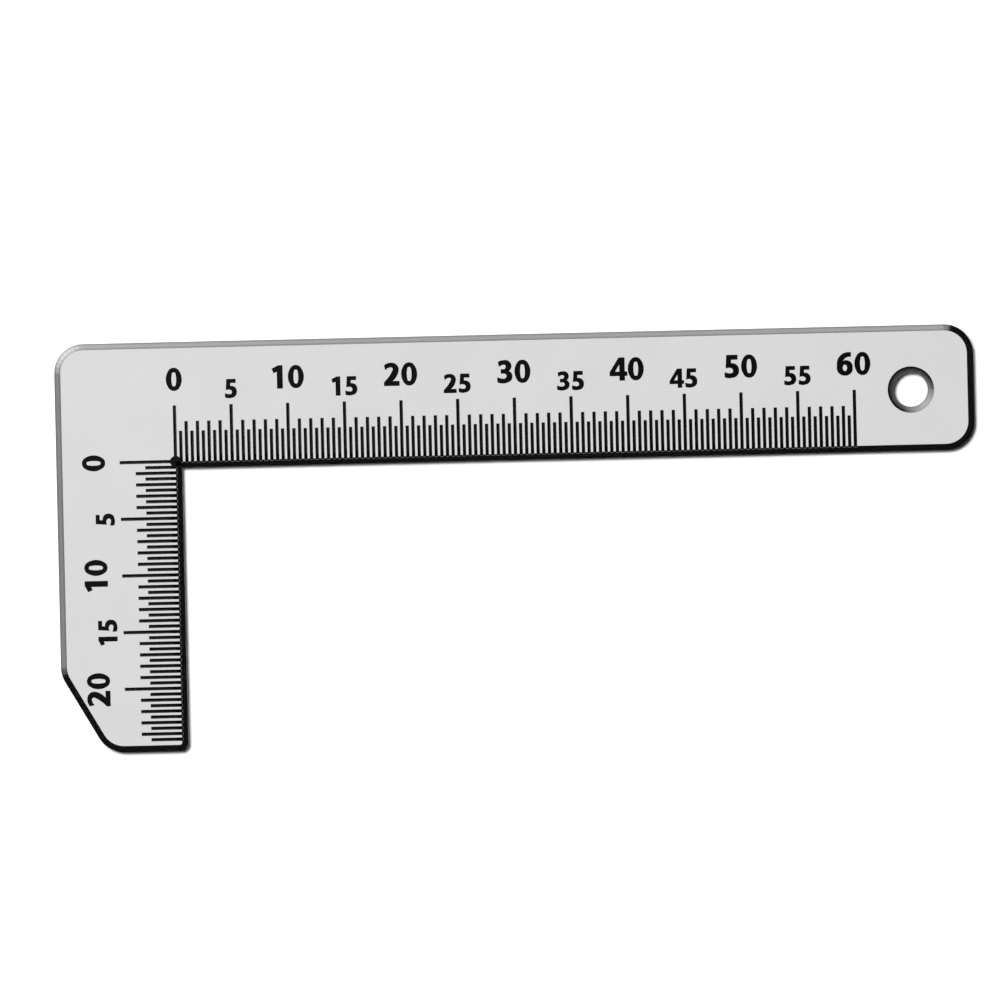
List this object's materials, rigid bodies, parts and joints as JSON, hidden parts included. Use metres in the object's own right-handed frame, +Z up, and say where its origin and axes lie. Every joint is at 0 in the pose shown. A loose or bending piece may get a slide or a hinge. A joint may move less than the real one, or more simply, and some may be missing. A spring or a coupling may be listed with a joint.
{
  "type": "inside corner rule",
  "caption": "Flat L-shaped steel rule with two millimetre scales that start at its inner corner, a slanted cut at the short arm's end and a hanging hole.",
  "frame": {"origin": "middle of the underside's bounding box, so the rule lies on the plane z = 0; the zero of both scales, at the inner corner of the flat face, is at x = -30 mm, y = +7.5 mm", "axes": "+X along the long arm from the corner to the hanging hole; +Y across the long arm, away from the short arm; +Z up, out of the marked face"},
  "size_m": [0.0812, 0.0362, 0.0015],
  "materials": {
    "steel": "fine satin face with polished bevelled edges",
    "enamel": "black enamel, level with the face"
  },
  "bodies": {
    "root": {"rule_plate": "steel", "zero_dot": "enamel", "long_scale_half_mm_lines": "enamel", "long_scale_mm_lines": "enamel", "long_scale_5mm_lines": "enamel", "long_scale_tens_numbers": "enamel", "long_scale_fives_numbers": "enamel", "short_scale_half_mm_lines": "enamel", "short_scale_mm_lines": "enamel", "short_scale_5mm_lines": "enamel", "short_scale_tens_numbers": "enamel", "short_scale_fives_numbers": "enamel"}
  },
  "joints": []
}
